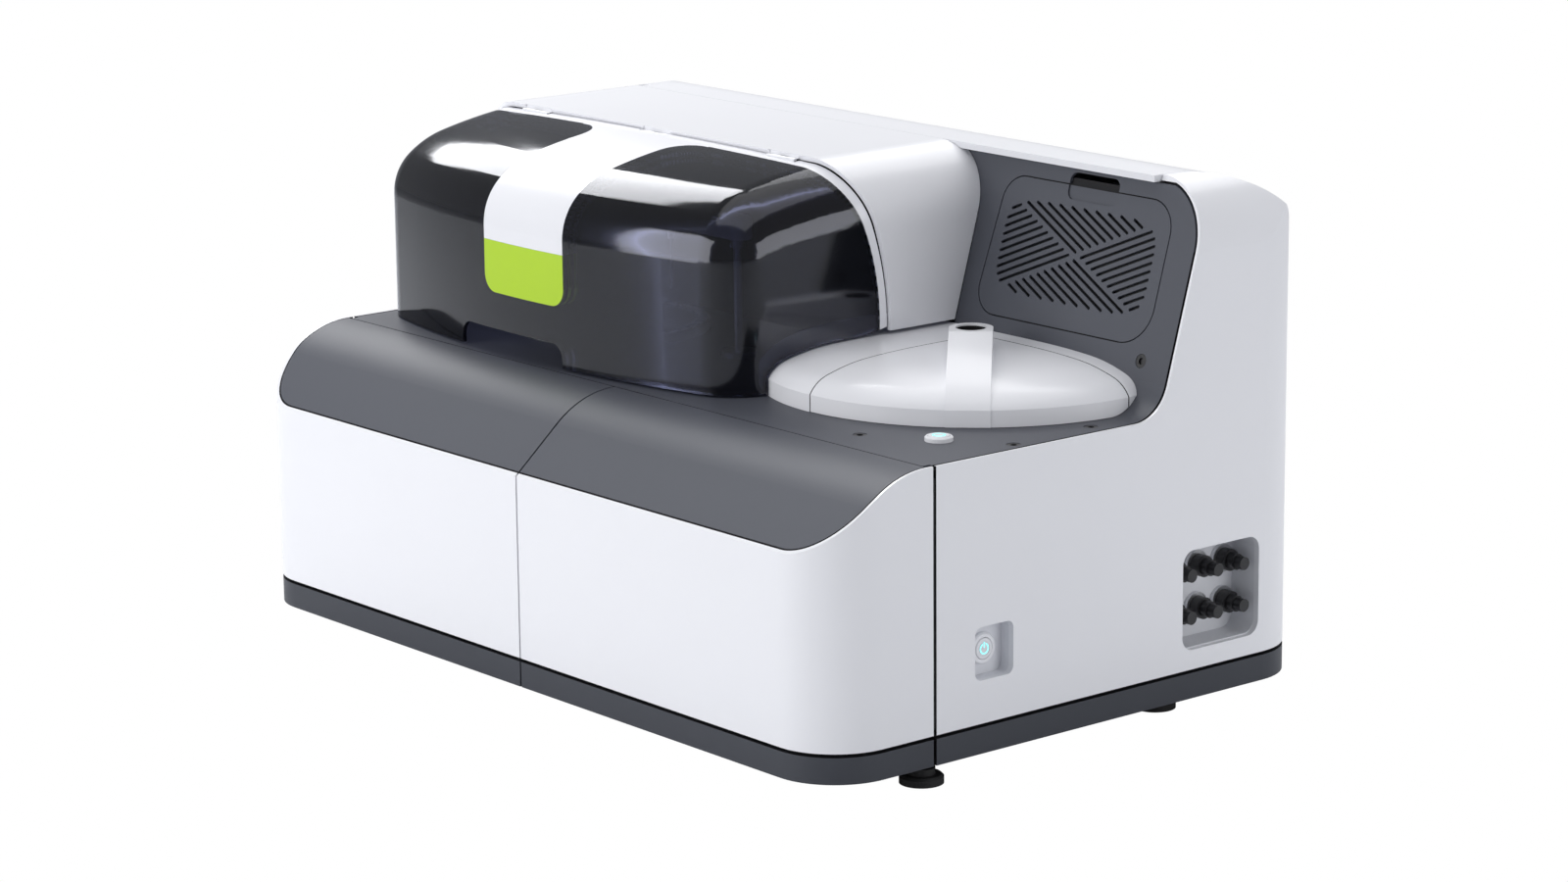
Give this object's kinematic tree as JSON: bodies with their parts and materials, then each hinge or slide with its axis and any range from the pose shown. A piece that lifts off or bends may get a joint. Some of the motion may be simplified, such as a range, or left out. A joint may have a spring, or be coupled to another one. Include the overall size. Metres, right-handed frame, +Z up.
{
  "type": "clinical chemistry analyzer",
  "caption": "Bench-top clinical chemistry analyzer with a lifting smoked hood, a round sample-disc lid, a leaning grille wall, hinged front doors and side fluid connectors.",
  "frame": {"origin": "centre of the bottom of the bounding box, at the undersides of the feet", "axes": "+X to the right along the front, +Y from the door faces to the back, +Z up"},
  "size_m": [0.86, 0.58, 0.485],
  "materials": {
    "white_panel": "satin white, smooth",
    "dark_panel": "satin blue-grey, smooth",
    "smoke": "high-gloss smoked",
    "lime": "satin",
    "sheet_metal": "satin",
    "steel": "satin",
    "black": "satin",
    "rubber": "matt",
    "clear": "clear"
  },
  "bodies": {
    "base": {"arm_guides": "steel", "back_wall": "dark_panel", "base_skirt": "dark_panel", "base_tray": "sheet_metal", "bulkhead": "dark_panel", "button_bezels": "steel", "deck": "dark_panel", "disc_motors": "black", "disc_wells": "black", "fan_frame": "black", "filter_foam": "black", "filter_tray": "sheet_metal", "fixed_hinges": "steel", "fluid_plugs": "black", "fluid_sockets": "steel", "hoops": "sheet_metal", "lid_fixed": "white_panel", "power_inlet": "black", "rear_panel": "white_panel", "screw_plugs": "black", "side_frames": "sheet_metal", "side_panel_left": "white_panel", "side_panel_right": "white_panel", "side_pockets": "white_panel", "top_cover": "white_panel", "tower_cover": "white_panel", "wash_cup": "white_panel"},
    "door_left": {"door_left_panel": "white_panel", "door_left_top": "dark_panel", "door_left_skirt": "dark_panel", "door_left_liner": "dark_panel", "door_left_leaf": "steel"},
    "door_right": {"door_right_panel": "white_panel", "door_right_top": "dark_panel", "door_right_skirt": "dark_panel", "door_right_liner": "dark_panel", "door_right_leaf": "steel"},
    "hood": {"hood_shell": "smoke", "hood_frame": "white_panel", "hood_tip": "lime", "hood_leaves": "steel"},
    "grille": {"grille_cover": "dark_panel"},
    "lid_quarter": {"lid_quarter": "white_panel"},
    "sample_carousel": {"sample_disc": "steel", "sample_tubes": "clear"},
    "reaction_carousel": {"reaction_disc": "steel", "cuvettes": "clear", "reaction_knob": "dark_panel"},
    "probe_lift": {"probe_rod": "steel"},
    "probe_arm": {"probe_arm": "white_panel"},
    "mixer_lift": {"mixer_rod": "steel"},
    "mixer_arm": {"mixer_arm": "white_panel"},
    "start_button": {"start_cap": "white_panel"},
    "power_button": {"power_cap": "white_panel"},
    "fan": {"fan_rotor": "black"},
    "foot_front_left": {"foot_front_left": "rubber"},
    "foot_front_right": {"foot_front_right": "rubber"},
    "foot_rear_left": {"foot_rear_left": "rubber"},
    "foot_rear_right": {"foot_rear_right": "rubber"}
  },
  "joints": [
    {"name": "door_right_hinge", "type": "hinge", "parent": "base", "child": "door_right", "pos_m": [0.4287, -0.1698, 0.16], "axis": [0, 0, 1], "range_deg": [0, 95]},
    {"name": "door_left_hinge", "type": "hinge", "parent": "base", "child": "door_left", "pos_m": [-0.4287, -0.1698, 0.16], "axis": [0, 0, -1], "range_deg": [0, 95]},
    {"name": "hood_hinge", "type": "hinge", "parent": "base", "child": "hood", "pos_m": [-0.143, -0.0138, 0.4806], "axis": [-1, 0, 0], "range_deg": [0, 65]},
    {"name": "grille_pull", "type": "slide", "parent": "base", "child": "grille", "axis": [0, -0.9589, 0.2838], "range_m": [0, 0.022]},
    {"name": "lid_lift", "type": "slide", "parent": "base", "child": "lid_quarter", "axis": [0, 0, 1], "range_m": [0, 0.08]},
    {"name": "sample_turn", "type": "hinge", "parent": "base", "child": "sample_carousel", "pos_m": [0.2, 0.084, 0.26], "axis": [0, 0, 1], "continuous": true},
    {"name": "reaction_turn", "type": "hinge", "parent": "base", "child": "reaction_carousel", "pos_m": [-0.215, -0.01, 0.26], "axis": [0, 0, 1], "continuous": true},
    {"name": "probe_lift_slide", "type": "slide", "parent": "base", "child": "probe_lift", "axis": [0, 0, 1], "range_m": [-0.035, 0]},
    {"name": "probe_swing", "type": "hinge", "parent": "probe_lift", "child": "probe_arm", "pos_m": [-0.03, -0.006, 0.405], "axis": [0, 0, 1], "range_deg": [-140, 65]},
    {"name": "mixer_lift_slide", "type": "slide", "parent": "base", "child": "mixer_lift", "axis": [0, 0, 1], "range_m": [-0.035, 0]},
    {"name": "mixer_swing", "type": "hinge", "parent": "mixer_lift", "child": "mixer_arm", "pos_m": [-0.345, 0.055, 0.405], "axis": [0, 0, 1], "range_deg": [-60, 45]},
    {"name": "start_press", "type": "slide", "parent": "base", "child": "start_button", "axis": [0, 0, -1], "range_m": [0, 0.002], "stiffness_N_per_m": 600, "springref_m": -0.001},
    {"name": "power_press", "type": "slide", "parent": "base", "child": "power_button", "axis": [-1, 0, 0], "range_m": [0, 0.002], "stiffness_N_per_m": 600, "springref_m": -0.001},
    {"name": "fan_spin", "type": "hinge", "parent": "base", "child": "fan", "pos_m": [0.18, 0.27, 0.29], "axis": [0, 1, 0], "continuous": true},
    {"name": "foot_front_left_screw", "type": "slide", "parent": "base", "child": "foot_front_left", "axis": [0, 0, -1], "range_m": [0, 0.008]},
    {"name": "foot_front_right_screw", "type": "slide", "parent": "base", "child": "foot_front_right", "axis": [0, 0, -1], "range_m": [0, 0.008]},
    {"name": "foot_rear_left_screw", "type": "slide", "parent": "base", "child": "foot_rear_left", "axis": [0, 0, -1], "range_m": [0, 0.008]},
    {"name": "foot_rear_right_screw", "type": "slide", "parent": "base", "child": "foot_rear_right", "axis": [0, 0, -1], "range_m": [0, 0.008]}
  ]
}
